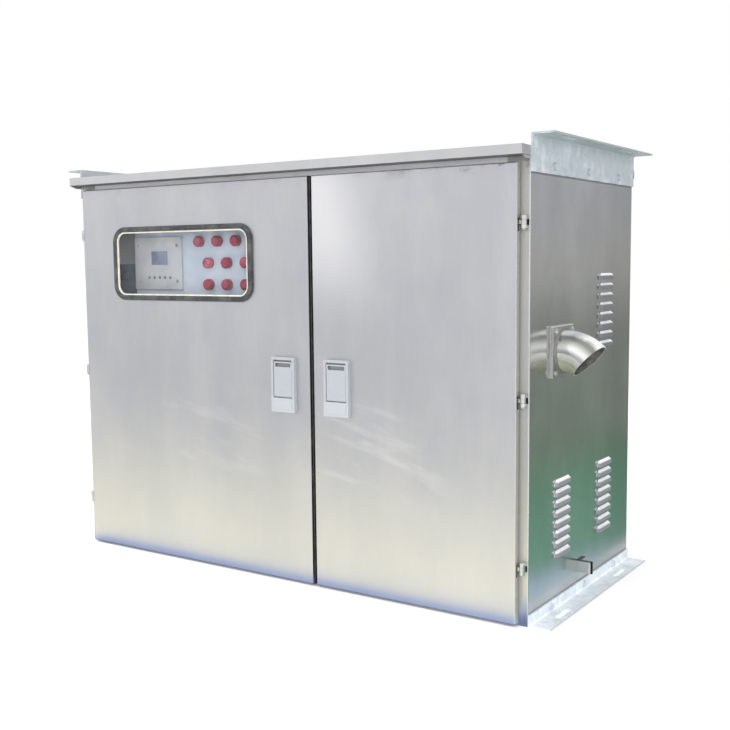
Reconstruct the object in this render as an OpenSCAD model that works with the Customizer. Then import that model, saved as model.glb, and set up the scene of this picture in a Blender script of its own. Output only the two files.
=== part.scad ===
// Outdoor low-voltage switchgear cabinet: folded stainless body, two unequal doors,
// side hanger and base angles. Millimetres, +Z up, doors face -Y.

/* [Body] */
// Width over the side sheets
body_w = 1600; // [1400:10:1800]
// Depth from the front frame plane to the back sheet
body_d = 714; // [680:2:780]
// Height to the top of the roof fascia
body_h = 1204; // [1150:2:1260]
// Thickness of the folded sheet
sheet = 2; // [1.5:0.5:2.5]
// Fall of the roof from front to back
roof_fall = 14; // [4:1:16]
// Roof overhang in front of the frame plane
eave_front = 50; // [44:1:64]
// Roof overhang behind the back sheet
eave_back = 20; // [12:1:40]
// Height of the roof fascia
fascia_h = 25; // [20:1:30]
// How far the eave end plates hang below the fascia
eave_tail = 8; // [4:1:9]
// Sloping cut at the front of an eave end plate
eave_cut = 24; // [12:1:30]

/* [Front frame] */
// Width of the side stiles of the front frame
stile_w = 60; // [52:1:72]
// Height of the top rail seen inside the doors
header_h = 74; // [68:1:84]
// Height of the bottom rail
sill_h = 44; // [36:1:52]
// Depth of the folded lips round the door openings
lip_d = 25; // [18:1:32]
// Width of the post behind the meeting door edges
post_w = 70; // [64:1:84]
// Depth of the post
post_d = 40; // [34:1:50]
// Width of the rubber strip let into the post
seal_w = 28; // [22:1:34]
// Depth of the rubber strip
seal_d = 6; // [4:1:8]

/* [Doors] */
// Width of the left door
left_door_w = 915; // [880:1:950]
// Strip of frame left beside each outer door edge
door_reveal = 26; // [24:1:30]
// Gap between the meeting door edges
door_gap = 10; // [8:1:12]
// Bottom edge of the doors above the floor
door_bottom = 6; // [5:1:12]
// Top edge of the doors below the roof top
door_drop = 40; // [39:1:46]
// Air between the doors and the frame plane
door_air = 5; // [5:0.5:7]
// Depth of the folded door pan
door_depth = 16; // [14:1:18]
// Width of the hem behind the door edges
door_hem = 12; // [9:1:16]
// Outer radius of the folded door edges
fold_r = 3; // [2.5:0.5:4]
// Thickness of the rubber strip on the meeting edge of the left door
meet_seal_t = 4; // [3:0.5:4]

/* [Hinges] */
// Upper and lower hinge from the door ends
hinge_end = 145; // [120:1:180]
// Middle hinges and locks below the door middle
lock_line = 6; // [0:1:20]
// Hinge axis outward of the door edge
hinge_out = 13; // [12:0.5:14]
// Hinge axis in front of the frame plane
hinge_fwd = 10; // [9.5:0.5:11]
// Outside diameter of the knuckles
knuckle_d = 14; // [12:0.5:15]
// Height of one knuckle
knuckle_h = 9; // [8:0.5:12]
// Height of the rounded head of a hinge
hinge_head = 4; // [3:0.5:5]
// Height of the pointed foot of a hinge
hinge_foot = 5; // [3:0.5:7]
// Diameter of the hinge pin
pin_d = 6; // [5:0.5:7]
// Radial running clearance of the pins
pin_play = 0.05; // [0.02:0.01:0.1]
// Gap between knuckles along the pin
knuckle_gap = 0.5; // [0.3:0.1:0.8]
// Half thickness of the hinge arms
leaf_t = 2.5; // [2:0.5:3]
// Cut-out in the door edge above a hinge arm
notch_up = 11; // [8:1:14]
// Cut-out in the door edge below a hinge arm
notch_down = 22; // [16:1:24]
// Width of the slot in the stile beside a hinge
stile_slot_w = 5; // [3:0.5:5]
// Height of the slot in the stile beside a hinge
stile_slot_h = 15; // [10:1:20]

/* [Window] */
// Width over the rubber gasket
window_w = 570; // [540:1:600]
// Height over the rubber gasket
window_h = 229; // [210:1:250]
// Outer corner radius of the gasket
window_r = 48; // [42:1:56]
// Left edge of the gasket from the outer door edge
window_side = 142; // [120:1:180]
// Window centre below the door top
window_drop = 237; // [220:1:260]
// Width of the gasket band
gasket_w = 16; // [14:1:18]
// How far the gasket stands out of the door
gasket_out = 10; // [8:1:12]
// Edge radius of the gasket bead
gasket_round = 6; // [4:0.5:7]
// Inner lip of the gasket set in from its outer edge
gasket_set = 1; // [0:0.5:2]
// Overlap of the gasket on the door sheet
gasket_lap = 8; // [7:0.5:8]
// Overlap of the gasket on the glass
glass_lap = 5; // [4:0.5:6]
// Thickness of the glass
glass_t = 4; // [3:0.5:5]
// Width of the pale filler strip inside the gasket
filler_w = 4; // [3:0.5:6]

/* [Handles] */
// Width of the lock housing
handle_w = 83; // [78:1:90]
// Height of the lock housing
handle_h = 158; // [150:1:170]
// Corner radius of the lock housing
handle_r = 4; // [3:0.5:6]
// Left housing from the meeting edge of the left door
handle_left_in = 51; // [40:1:60]
// Right housing from the meeting edge of the right door
handle_right_in = 42; // [34:1:60]
// How far the housing stands out of the door
handle_out = 12; // [11:1:14]
// Width of the housing rims
rim_w = 8; // [7:0.5:9]
// Thickness of the housing floor
handle_floor = 3; // [2:0.5:4]
// Height of the push button at the foot of the housing
button_h = 33; // [30:1:36]
// How far the push button stands out of the housing
button_out = 1; // [0.5:0.5:2]
// Side clearance of the lever in the housing
lever_air = 1.5; // [1.2:0.1:2.5]
// Gap above the lever
lever_top_air = 5; // [4:0.5:7]
// Lever face sunk below the housing rim
lever_sink = 1.5; // [1:0.5:2]
// Thickness of the lever
lever_t = 6; // [5:0.5:6]
// Height of the finger slot in the lever
finger_h = 11; // [9:1:14]
// Diameter of the lever pin
lever_pin_d = 4; // [3:0.5:4]

/* [Side louvres] */
// Louvres in a column
louvre_n = 8; // [6:1:9]
// Spacing of the louvres
louvre_pitch = 27.3; // [25:0.1:29]
// Length of a louvre
louvre_l = 96; // [90:1:110]
// Outward reach of a louvre hood
louvre_out = 10; // [8:0.5:12]
// Flat root of a hood before its top slopes
louvre_flat = 2; // [1.5:0.5:3]
// Fall of the sloping top of a hood
louvre_fall = 7; // [5:0.5:8]
// Height of a hood
louvre_h = 18; // [17:0.5:20]
// Outer radius between the top and the lip of a hood
louvre_r = 4; // [3:0.5:5]
// Louvre columns each side of the mid depth
louvre_y = 151; // [130:1:170]
// Top of the upper column below the roof top
louvre_upper_drop = 317; // [300:1:340]
// Top of the lower columns
louvre_lower_z = 350; // [330:1:370]

/* [Hanger and base angles] */
// Thickness of the angles
angle_t = 5; // [4:0.5:6]
// Root radius of the angles
angle_root = 5; // [3:0.5:7]
// Outward leg of the angles
angle_leg = 61; // [56:1:70]
// Upright leg of the base angles
base_leg = 32; // [28:1:40]
// Front end of the left base angle behind the frame plane
left_base_set = 56; // [50:1:70]
// Underside of the hanger plate below the roof top
hanger_drop = 63; // [56:1:70]
// Top of the hanger angle above the roof top
hanger_rise = 30; // [24:1:40]
// Width of the mounting slots
slot_w = 16; // [12:0.5:18]
// Length of the mounting slots
slot_l = 85; // [60:1:100]
// First slot from the front end of the angle
slot_first = 134; // [120:1:150]
// Spacing of the two slots
slot_pitch = 416; // [390:1:440]
// Slot line outward of the side sheet
slot_out = 38; // [34:1:42]
// Bolt across flats
bolt_af = 16; // [13:1:17]
// Bolt diameter
bolt_d = 10; // [8:1:10]
// Thickness of a bolt head
bolt_head = 6.4; // [5:0.2:8]
// Bolt hole clearance on the diameter
bolt_play = 1; // [0.5:0.1:1.5]
// First bolt from the front end of the angles
bolt_first = 129; // [110:1:140]
// Spacing of the bolts
bolt_pitch = 228; // [210:1:240]
// Bolt line of the base angle above the floor
base_bolt_z = 19; // [18:0.5:20]
// Bolt line of the hanger plate above its lower edge
hanger_bolt_z = 19; // [16:1:30]

/* [Cable elbow] */
// Side of the square flange
elbow_flange = 134; // [130:1:144]
// Thickness of the flange
elbow_flange_t = 6; // [4:0.5:8]
// Thickness of the packing under the flange
elbow_gasket_t = 3; // [2:0.5:4]
// Outside diameter of the elbow tube
elbow_d = 108; // [104:1:110]
// Wall of the elbow tube
elbow_wall = 3; // [2:0.5:4]
// Radius of the bend at the tube axis
elbow_r = 88; // [80:1:96]
// Angle of the bend
elbow_bend = 44; // [40:1:52]
// Straight stub before the bend
elbow_stub = 11; // [8:1:24]
// Elbow axis behind the frame plane
elbow_y = 188; // [180:1:230]
// Elbow axis above the floor
elbow_z = 690; // [670:1:720]
// Bolt spacing of the flange
elbow_bolt_pitch = 108; // [106:1:110]
// Bolt diameter of the flange
elbow_bolt_d = 8; // [6:1:8]

/* [Earth terminal] */
// Reach of the lug
lug_out = 42; // [34:1:50]
// Height of the lug
lug_h = 35; // [28:1:40]
// Thickness of the lug
lug_t = 5; // [4:0.5:6]
// Lug face behind the frame plane
lug_y = 324; // [315:1:335]
// Foot of the lug above the floor
lug_z = 60; // [56:1:80]

/* [Instruments] */
// Instrument plate behind the frame plane
plate_y = 60; // [52:1:80]
// Left edge of the plate from the side sheet
plate_side = 178; // [172:1:186]
// Width of the plate
plate_w = 525; // [515:1:540]
// Height of the plate
plate_h = 250; // [240:1:270]
// Width of an upright
upright_w = 35; // [30:1:40]
// Depth of an upright
upright_d = 30; // [24:1:36]
// Width of the controller face
ctrl_w = 206; // [195:1:212]
// Height of the controller face
ctrl_h = 165; // [150:1:180]
// Thickness of the controller face
ctrl_face = 6; // [4:0.5:8]
// Depth of the controller case behind the plate
ctrl_d = 80; // [60:1:100]
// Border between the controller face and its case
ctrl_rim = 14; // [11:1:18]
// Controller face from the left edge of the plate
ctrl_side = 2; // [0:1:6]
// Play of the controller case in the plate
ctrl_play = 0.3; // [0.2:0.1:0.6]
// Corner radius of the controller face
ctrl_r = 4; // [2:0.5:6]
// Width of the display
screen_w = 72; // [66:1:80]
// Height of the display
screen_h = 44; // [38:1:50]
// Depth of the display recess
screen_deep = 1.5; // [1:0.5:3]
// Display right of the controller middle
screen_shift = 6; // [0:1:10]
// Display above the controller middle
screen_rise = 17; // [12:1:22]
// Spacing of the five keys
key_pitch = 23; // [20:0.5:24]
// Diameter of a key
key_d = 8; // [6:0.5:9]
// Keys below the controller middle
key_drop = 45; // [42:1:50]
// How far keys and screw heads stand out
key_out = 1.5; // [1:0.5:2.5]
// Spacing of the controller screws across
screw_w = 165; // [158:1:172]
// Spacing of the controller screws upwards
screw_h = 112; // [106:1:120]
// Diameter of a controller screw head
screw_d = 9; // [7:0.5:10]
// Diameter of a lamp cap
lamp_d = 34; // [28:1:36]
// How far a lamp cap stands out
lamp_out = 20; // [14:1:26]
// Spacing of the lamps in a row
lamp_pitch = 74.5; // [60:0.5:76]
// Spacing of the lamp rows
lamp_row = 66; // [60:0.5:70]
// First lamp of the top row from the left edge of the plate
lamp_side = 284; // [276:1:292]
// Shift of the lower rows
lamp_shift = 37; // [20:1:40]
// Width of the dark switch block on the left side sheet
switch_w = 140; // [120:1:146]
// Height of the switch block
switch_h = 186; // [160:1:200]
// Depth of the switch block
switch_d = 90; // [70:1:100]
// Top of the switch block below the window centre
switch_drop = 1; // [0:1:20]
// Step between the face and the ends of the switch block
switch_step = 14; // [8:1:20]
// Front of the switch block behind the frame plane
switch_y = 95; // [94:1:110]

/* [Hidden] */
$fn = 64;
front_y = -body_d / 2;
half_w = body_w / 2;
in_w = half_w - sheet;
face_y = -door_air - door_depth;
door_top = body_h - door_drop;
lock_z = (door_top + door_bottom) / 2 - lock_line;
door_edge = half_w - door_reveal;
left_meet = -door_edge + left_door_w;
right_meet = left_meet + door_gap;
right_door_w = door_edge - right_meet;
post_x = left_meet + door_gap / 2;
header_z = body_h - header_h;
axis_x = door_edge + hinge_out;
axis_y = -hinge_fwd;
hinge_zs = [door_bottom + hinge_end, lock_z, door_top - hinge_end];
window_x = -door_edge + window_side + window_w / 2;
window_z = door_top - window_drop;
glass_in = gasket_w - glass_lap;
plate_x = -half_w + plate_side;
plate_z = window_z - plate_h / 2;
ctrl_x = plate_x + ctrl_side;
ctrl_mid = ctrl_x + ctrl_w / 2;
switch_top = window_z - switch_drop;
hanger_z = body_h - hanger_drop;
hanger_top = body_h + hanger_rise;
elbow_seat = half_w + elbow_gasket_t + elbow_flange_t;
louvre_run = louvre_l / 2 - louvre_out;
louvre_rake = louvre_out - louvre_flat;
louvre_slant = norm([louvre_rake, louvre_fall]);
louvre_lean = [louvre_fall, louvre_rake] / louvre_slant;
louvre_bend_x = louvre_out - louvre_r;
louvre_bend = [
  louvre_bend_x, -(louvre_r * louvre_slant + louvre_fall * (louvre_bend_x - louvre_flat)) / louvre_rake
];
louvre_upper_z = body_h - louvre_upper_drop;
lever_w = handle_w - 2 * rim_w - 2 * lever_air;
lever_low = -handle_h / 2 + rim_w + button_h + lever_t / 2 + lever_air;
lever_high = handle_h / 2 - rim_w - lever_top_air;
lever_axis = face_y - handle_out + lever_t / 2 + lever_sink;
left_handle_x = left_meet - handle_left_in - handle_w / 2;
right_handle_x = right_meet + handle_right_in + handle_w / 2;

// Height of the roof underside at a distance behind the frame plane
function roof_under(y) = body_h - sheet - roof_fall * (y + eave_front) / (body_d + eave_front + eave_back);

// Shared shapes
module at_front() {
  translate([0, front_y, 0]) children();
}

module block(low, high) {
  translate(low) cube(high - low);
}

module on_left() {
  mirror([1, 0, 0]) children();
}

module along_x(x, len) {
  translate([x, 0, 0]) rotate([90, 0, 90]) linear_extrude(len) children();
}

module along_y(y, len) {
  translate([0, y + len, 0]) rotate([90, 0, 0]) linear_extrude(len) children();
}

module round_rect(w, h, r) {
  square([w - 2 * r, h], center = true);
  square([w, h - 2 * r], center = true);
  for (sx = [-1, 1], sz = [-1, 1]) {
    translate([sx * (w / 2 - r), sz * (h / 2 - r)]) circle(r);
  }
}

module ring(w, h, r, band) {
  difference() {
    round_rect(w, h, r);
    round_rect(w - 2 * band, h - 2 * band, r - band);
  }
}

module round_head(d, h, r) {
  rotate_extrude() {
    square([d / 2, h - r]);
    square([d / 2 - r, h]);
    translate([d / 2 - r, h - r]) intersection() {
      circle(r);
      square(r);
    }
  }
}

// Hex bolt through a wall, head on +X side, seat at x = 0
module hex_bolt(d, af, head, grip) {
  rotate([0, 90, 0]) {
    cylinder(d = af / cos(30), h = head, $fn = 6);
    translate([0, 0, -grip - head]) cylinder(d = d, h = grip + head);
    translate([0, 0, -grip - head]) cylinder(d = af / cos(30), h = head, $fn = 6);
  }
}

// Louvred side sheets
module hood_section(inset) {
  r = louvre_r - inset;
  x = louvre_out - inset;
  low = -louvre_h - inset;
  flat = louvre_flat - inset * (louvre_slant - louvre_rake) / louvre_fall;
  polygon([
    [0, -inset], [flat, -inset], louvre_bend + r * louvre_lean, louvre_bend,
    [x, louvre_bend[1]], [x, low], [0, low]
  ]);
  translate(louvre_bend) circle(r);
}

module hood_wall() {
  difference() {
    hood_section(0);
    hood_section(sheet);
  }
}

module louvre_hood() {
  along_y(-louvre_run, 2 * louvre_run) hood_wall();
  for (s = [0, 1]) mirror([0, s, 0]) translate([0, louvre_run, 0]) rotate_extrude(angle = 90) hood_wall();
}

module louvre_slot() {
  block([-2 * sheet, -louvre_run, -louvre_h], [sheet / 2, louvre_run, -2 * sheet]);
}

module louvre_columns() {
  for (c = [[louvre_y, louvre_upper_z], [louvre_y, louvre_lower_z], [-louvre_y, louvre_lower_z]]) {
    for (i = [0:louvre_n - 1]) {
      translate([half_w, body_d / 2 + c[0], c[1] - i * louvre_pitch]) children();
    }
  }
}

module angle_bolt_spots(z) {
  for (i = [0:2]) {
    translate([half_w, bolt_first + i * bolt_pitch, z]) children();
  }
}

module bolt_hole() {
  translate([-3 * sheet, 0, 0]) rotate([0, 90, 0])
    cylinder(d = bolt_d + bolt_play, h = 3 * sheet + 3 * angle_t);
}

module side_plan() {
  translate([in_w, sheet]) square([sheet, body_d - sheet]);
  intersection() {
    translate([in_w, sheet]) circle(sheet);
    translate([in_w, 0]) square(sheet);
  }
}

module side_sheet() {
  difference() {
    intersection() {
      linear_extrude(body_h) side_plan();
      along_x(in_w, sheet) polygon([
        [0, 0], [body_d, 0], [body_d, roof_under(body_d)], [0, roof_under(0)]
      ]);
    }
    louvre_columns() louvre_slot();
    angle_bolt_spots(base_bolt_z) bolt_hole();
    angle_bolt_spots(hanger_z + hanger_bolt_z) bolt_hole();
  }
  louvre_columns() louvre_hood();
}

module left_side_panel() {
  color([0.66, 0.67, 0.66]) at_front() on_left() side_sheet();
}

module right_side_panel() {
  color([0.66, 0.67, 0.66]) at_front() difference() {
    side_sheet();
    translate([in_w - sheet, elbow_y, elbow_z]) rotate([0, 90, 0])
      cylinder(d = elbow_d - 2 * elbow_wall, h = 4 * sheet);
    elbow_bolt_spots() translate([-4 * sheet, 0, 0]) rotate([0, 90, 0])
      cylinder(d = elbow_bolt_d + bolt_play, h = 6 * sheet);
  }
}

// Back, floor and roof
module back_panel() {
  color([0.70, 0.71, 0.70]) at_front()
    block([-in_w, body_d - sheet, 0], [in_w, body_d, roof_under(body_d)]);
}

module floor_panel() {
  color([0.62, 0.63, 0.62]) at_front()
    block([-in_w, sheet, 0], [in_w, body_d - sheet, sheet]);
}

module roof_section() {
  low = body_h - fascia_h;
  polygon([
    [0, low], [-eave_front, low], [-eave_front, body_h],
    [body_d + eave_back, body_h - roof_fall], [body_d + eave_back, body_h - roof_fall - fascia_h],
    [body_d + eave_back - sheet, body_h - roof_fall - fascia_h],
    [body_d + eave_back - sheet, roof_under(body_d + eave_back - sheet)],
    [sheet - eave_front, roof_under(sheet - eave_front)], [sheet - eave_front, low + sheet], [0, low + sheet]
  ]);
}

module eave_end() {
  low = body_h - fascia_h;
  along_x(in_w, sheet) polygon([
    [0, low], [0, low - eave_tail], [eave_cut - eave_front, low - eave_tail], [-eave_front, low],
    [-eave_front, body_h - sheet], [0, roof_under(0)]
  ]);
}

module roof_cap() {
  color([0.74, 0.75, 0.75]) at_front() {
    along_x(-half_w, body_w) roof_section();
    eave_end();
    on_left() eave_end();
  }
}

// Front frame
module stile() {
  slot_x = axis_x + knuckle_d / 2 - leaf_t;
  difference() {
    block([in_w - stile_w, 0, sheet], [in_w, sheet, roof_under(sheet)]);
    at_hinges() block([slot_x, -sheet, -stile_slot_h / 2], [slot_x + stile_slot_w, 2 * sheet, stile_slot_h / 2]);
  }
  block([in_w - stile_w, 0, sheet], [in_w - stile_w + sheet, lip_d, roof_under(lip_d)]);
}

module left_front_stile() {
  color([0.68, 0.69, 0.68]) at_front() on_left() stile();
}

module right_front_stile() {
  color([0.68, 0.69, 0.68]) at_front() stile();
}

module front_header() {
  x = in_w - stile_w;
  color([0.68, 0.69, 0.68]) at_front() {
    block([-x, 0, header_z], [x, sheet, roof_under(sheet)]);
    block([-x, 0, header_z], [x, lip_d, header_z + sheet]);
  }
}

module front_sill() {
  x = in_w - stile_w;
  color([0.68, 0.69, 0.68]) at_front() {
    block([-x, 0, sheet], [x, sheet, sill_h]);
    block([-x, 0, sill_h - sheet], [x, lip_d, sill_h]);
  }
}

module post_section() {
  w = post_w / 2;
  g = seal_w / 2;
  for (s = [0, 1]) mirror([s, 0]) {
    translate([g, 0]) square([w - g, sheet]);
    translate([w - sheet, 0]) square([sheet, post_d]);
    translate([g, 0]) square([sheet, seal_d + sheet]);
    translate([0, seal_d]) square([g + sheet, sheet]);
  }
}

module centre_post() {
  color([0.66, 0.67, 0.66]) at_front() translate([post_x, 0, sill_h])
    linear_extrude(header_z - sill_h) post_section();
}

module centre_seal() {
  color([0.05, 0.05, 0.06]) at_front()
    block([post_x - seal_w / 2, 0, sill_h], [post_x + seal_w / 2, seal_d, header_z]);
}

// Galvanised angles
module slots(z) {
  for (i = [0, 1]) translate([half_w + slot_out, slot_first + i * slot_pitch, z - angle_t]) {
    run = (slot_l - slot_w) / 2;
    for (s = [-1, 1]) translate([0, s * run, 0]) cylinder(d = slot_w, h = 3 * angle_t);
    translate([-slot_w / 2, -run, 0]) cube([slot_w, 2 * run, 3 * angle_t]);
  }
}

module angle_section(up) {
  square([angle_leg, angle_t]);
  square([angle_t, up]);
  difference() {
    square(angle_t + angle_root);
    translate([angle_t + angle_root, angle_t + angle_root]) circle(angle_root);
  }
}

module base_angle(start) {
  difference() {
    along_y(start, body_d - start) translate([half_w, 0]) angle_section(base_leg);
    slots(0);
    angle_bolt_spots(base_bolt_z) bolt_hole();
  }
}

module hanger_angle() {
  difference() {
    along_y(0, body_d) translate([half_w, hanger_top]) mirror([0, 1])
      angle_section(hanger_top - hanger_z);
    slots(hanger_top - angle_t);
    angle_bolt_spots(hanger_z + hanger_bolt_z) bolt_hole();
  }
}

module left_hanger_angle() {
  color([0.74, 0.78, 0.80]) at_front() on_left() hanger_angle();
}

module right_hanger_angle() {
  color([0.74, 0.78, 0.80]) at_front() hanger_angle();
}

module left_base_angle() {
  color([0.76, 0.80, 0.84]) at_front() on_left() base_angle(left_base_set);
}

module right_base_angle() {
  color([0.76, 0.80, 0.84]) at_front() base_angle(0);
}

module angle_bolts() {
  for (z = [base_bolt_z, hanger_z + hanger_bolt_z]) {
    angle_bolt_spots(z) translate([angle_t, 0, 0]) hex_bolt(bolt_d, bolt_af, bolt_head, angle_t + sheet);
  }
}

module left_angle_bolts() {
  color([0.70, 0.72, 0.73]) at_front() on_left() angle_bolts();
}

module right_angle_bolts() {
  color([0.70, 0.72, 0.73]) at_front() angle_bolts();
}

// Cable elbow on the right side
module elbow_bolt_spots() {
  p = elbow_bolt_pitch / 2;
  for (sy = [-1, 1], sz = [-1, 1]) {
    translate([half_w, elbow_y + sy * p, elbow_z + sz * p]) children();
  }
}

module square_flange(x, t) {
  difference() {
    translate([x, elbow_y - elbow_flange / 2, elbow_z - elbow_flange / 2])
      cube([t, elbow_flange, elbow_flange]);
    translate([x - t, elbow_y, elbow_z]) rotate([0, 90, 0]) cylinder(d = elbow_d - 2 * elbow_wall, h = 3 * t);
    elbow_bolt_spots() translate([-t, 0, 0]) rotate([0, 90, 0])
      cylinder(d = elbow_bolt_d + bolt_play, h = 8 * t + elbow_gasket_t);
  }
}

module elbow_gasket() {
  color([0.82, 0.80, 0.72]) at_front() square_flange(half_w, elbow_gasket_t);
}

module elbow_flange_plate() {
  color([0.72, 0.73, 0.72]) at_front() square_flange(half_w + elbow_gasket_t, elbow_flange_t);
}

module tube_section() {
  difference() {
    circle(d = elbow_d);
    circle(d = elbow_d - 2 * elbow_wall);
  }
}

module elbow_pipe() {
  color([0.76, 0.76, 0.74]) at_front() translate([elbow_seat, elbow_y, elbow_z]) {
    rotate([0, 90, 0]) linear_extrude(elbow_stub) tube_section();
    translate([elbow_stub, 0, -elbow_r]) rotate([0, -90, -90])
      rotate_extrude(angle = elbow_bend, $fn = 128) translate([elbow_r, 0]) tube_section();
  }
}

module elbow_bolts() {
  color([0.72, 0.73, 0.73]) at_front() elbow_bolt_spots()
    translate([elbow_seat - half_w, 0, 0])
      hex_bolt(elbow_bolt_d, elbow_bolt_d * 1.6, elbow_bolt_d * 0.65, elbow_seat - in_w);
}

// Earth terminal on the right side
module earth_terminal() {
  color([0.62, 0.64, 0.62]) at_front() translate([half_w, lug_y, lug_z]) {
    block([0, 0, 0], [lug_out, lug_t, lug_h]);
    block([0, 0, 0], [lug_t, lug_out, lug_h]);
    translate([(lug_out + lug_t) / 2, lug_t, lug_h / 2]) rotate([-90, 0, 0]) {
      cylinder(d = bolt_af / cos(30), h = bolt_head, $fn = 6);
      cylinder(d = bolt_d, h = lug_out - 2 * lug_t);
    }
  }
}

// Hinges: two fixed knuckles and a pin on the frame, one knuckle whose arm enters the door edge
module frame_leaf() {
  span = 3 * knuckle_h + 2 * knuckle_gap;
  step = knuckle_h + knuckle_gap;
  translate([axis_x, axis_y, -span / 2]) {
    for (z = [0, 2 * step]) translate([0, 0, z]) {
      cylinder(d = knuckle_d, h = knuckle_h);
      block([-knuckle_d / 2 + leaf_t, 0, 0], [knuckle_d / 2 - leaf_t, hinge_fwd, knuckle_h]);
    }
    cylinder(d = pin_d, h = span);
    translate([0, 0, span]) round_head(knuckle_d, hinge_head, hinge_head - knuckle_gap);
    translate([0, 0, -hinge_foot]) cylinder(d1 = pin_d, d2 = knuckle_d, h = hinge_foot);
  }
}

module door_leaf() {
  difference() {
    union() {
      translate([axis_x, axis_y, -knuckle_h / 2]) cylinder(d = knuckle_d, h = knuckle_h);
      block([door_edge - door_hem, axis_y - leaf_t, -knuckle_h / 2],
            [axis_x, -door_air - sheet, knuckle_h / 2]);
    }
    translate([axis_x, axis_y, -knuckle_h]) cylinder(r = pin_d / 2 + pin_play, h = 2 * knuckle_h);
  }
}

module at_hinges() {
  for (z = hinge_zs) translate([0, 0, z]) children();
}

module left_hinge_frame_leaves() {
  color([0.82, 0.82, 0.80]) at_front() on_left() at_hinges() frame_leaf();
}

module right_hinge_frame_leaves() {
  color([0.82, 0.82, 0.80]) at_front() at_hinges() frame_leaf();
}

module left_hinge_door_leaves() {
  color([0.82, 0.82, 0.80]) at_front() on_left() at_hinges() door_leaf();
}

module right_hinge_door_leaves() {
  color([0.82, 0.82, 0.80]) at_front() at_hinges() door_leaf();
}

// Instruments behind the window
module upright(x) {
  y = plate_y + sheet;
  difference() {
    block([x, y, sheet], [x + upright_w, y + upright_d, roof_under(y + upright_d)]);
    block([x + sheet, y + sheet, 0], [x + upright_w - sheet, y + upright_d + sheet, body_h]);
  }
}

module panel_uprights() {
  color([0.60, 0.62, 0.62]) at_front() {
    upright(ctrl_x + ctrl_w);
    upright(plate_x + plate_w - upright_w);
  }
}

module at_plate(x, z, y, len) {
  translate([x, 0, z]) along_y(y, len) children();
}

module instrument_panel() {
  color([0.74, 0.80, 0.88]) at_front() difference() {
    block([plate_x, plate_y, plate_z], [plate_x + plate_w, plate_y + sheet, plate_z + plate_h]);
    at_plate(ctrl_mid, window_z, plate_y - sheet, 3 * sheet)
      square([ctrl_w - 2 * ctrl_rim + 2 * ctrl_play, ctrl_h - 2 * ctrl_rim + 2 * ctrl_play], center = true);
  }
}

module controller_studs() {
  for (i = [-2:2]) translate([screen_shift + i * key_pitch, -key_drop]) circle(d = key_d);
  for (sx = [-1, 1], sz = [-1, 1]) translate([sx * screw_w / 2, sz * screw_h / 2]) circle(d = screw_d);
}

module controller() {
  face = plate_y - ctrl_face;
  color([0.78, 0.80, 0.82]) at_front() {
    difference() {
      at_plate(ctrl_mid, window_z, face, ctrl_face) round_rect(ctrl_w, ctrl_h, ctrl_r);
      at_plate(ctrl_mid + screen_shift, window_z + screen_rise, face - ctrl_face, ctrl_face + screen_deep)
        square([screen_w, screen_h], center = true);
    }
    at_plate(ctrl_mid, window_z, plate_y, ctrl_d)
      square([ctrl_w - 2 * ctrl_rim, ctrl_h - 2 * ctrl_rim], center = true);
    at_plate(ctrl_mid, window_z, face - key_out, key_out) controller_studs();
  }
}

module indicator_lamps() {
  color([0.72, 0.12, 0.20]) at_front() for (r = [0:2], i = [0:2]) {
    shift = r == 0 ? 0 : lamp_shift;
    translate([plate_x + lamp_side + shift + i * lamp_pitch, plate_y, window_z + (1 - r) * lamp_row])
      rotate([90, 0, 0]) round_head(lamp_d, lamp_out, lamp_d / 5);
  }
}

module switch_block() {
  low = switch_top - switch_h;
  color([0.10, 0.13, 0.22]) at_front() {
    block([-in_w, switch_y + switch_step, low], [-in_w + switch_w, switch_y + switch_d, switch_top]);
    block([-in_w, switch_y, low + switch_h / 4],
          [-in_w + switch_w, switch_y + switch_d, switch_top - switch_h / 4]);
  }
}

// Doors
module front_round(a, b, front, back, r) {
  translate([a + r, front]) square([b - a - 2 * r, back - front]);
  translate([a, front + r]) square([b - a, back - front - r]);
  for (c = [a + r, b - r]) translate([c, front + r]) circle(r);
}

module pan_body(x, w, inset) {
  low = door_bottom + inset;
  high = door_top - inset;
  front = face_y + inset;
  back = -door_air - inset;
  intersection() {
    translate([0, 0, low]) linear_extrude(high - low)
      front_round(x + inset, x + w - inset, front, back, fold_r - inset);
    along_x(x + inset, w - 2 * inset) mirror([1, -1]) front_round(low, high, front, back, fold_r - inset);
  }
}

module door_pan(x, w) {
  difference() {
    pan_body(x, w, 0);
    pan_body(x, w, sheet);
    block([x + door_hem, -door_air - 2 * sheet, door_bottom + door_hem],
          [x + w - door_hem, 0, door_top - door_hem]);
  }
}

module hinge_notches() {
  at_hinges() block([door_edge - 2 * sheet, face_y + fold_r + 1, -notch_down],
                    [door_edge + sheet, -door_air - sheet, notch_up]);
}

module at_window(y, len) {
  translate([window_x, 0, window_z]) along_y(y, len) children();
}

module left_door_panel() {
  color([0.76, 0.76, 0.76]) at_front() difference() {
    door_pan(-door_edge, left_door_w);
    on_left() hinge_notches();
    at_window(face_y - sheet, 3 * sheet)
      round_rect(window_w - 2 * gasket_lap, window_h - 2 * gasket_lap, window_r - gasket_lap);
  }
}

module meeting_seal() {
  low = door_bottom + fold_r;
  color([0.05, 0.05, 0.06]) at_front() translate([left_meet, 0, low])
    linear_extrude(door_top - fold_r - low) rotate(90)
      front_round(face_y + fold_r, -door_air - sheet, -meet_seal_t, 0, meet_seal_t / 3);
}

module right_door_panel() {
  color([0.76, 0.76, 0.76]) at_front() difference() {
    door_pan(right_meet, right_door_w);
    hinge_notches();
  }
}

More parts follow.
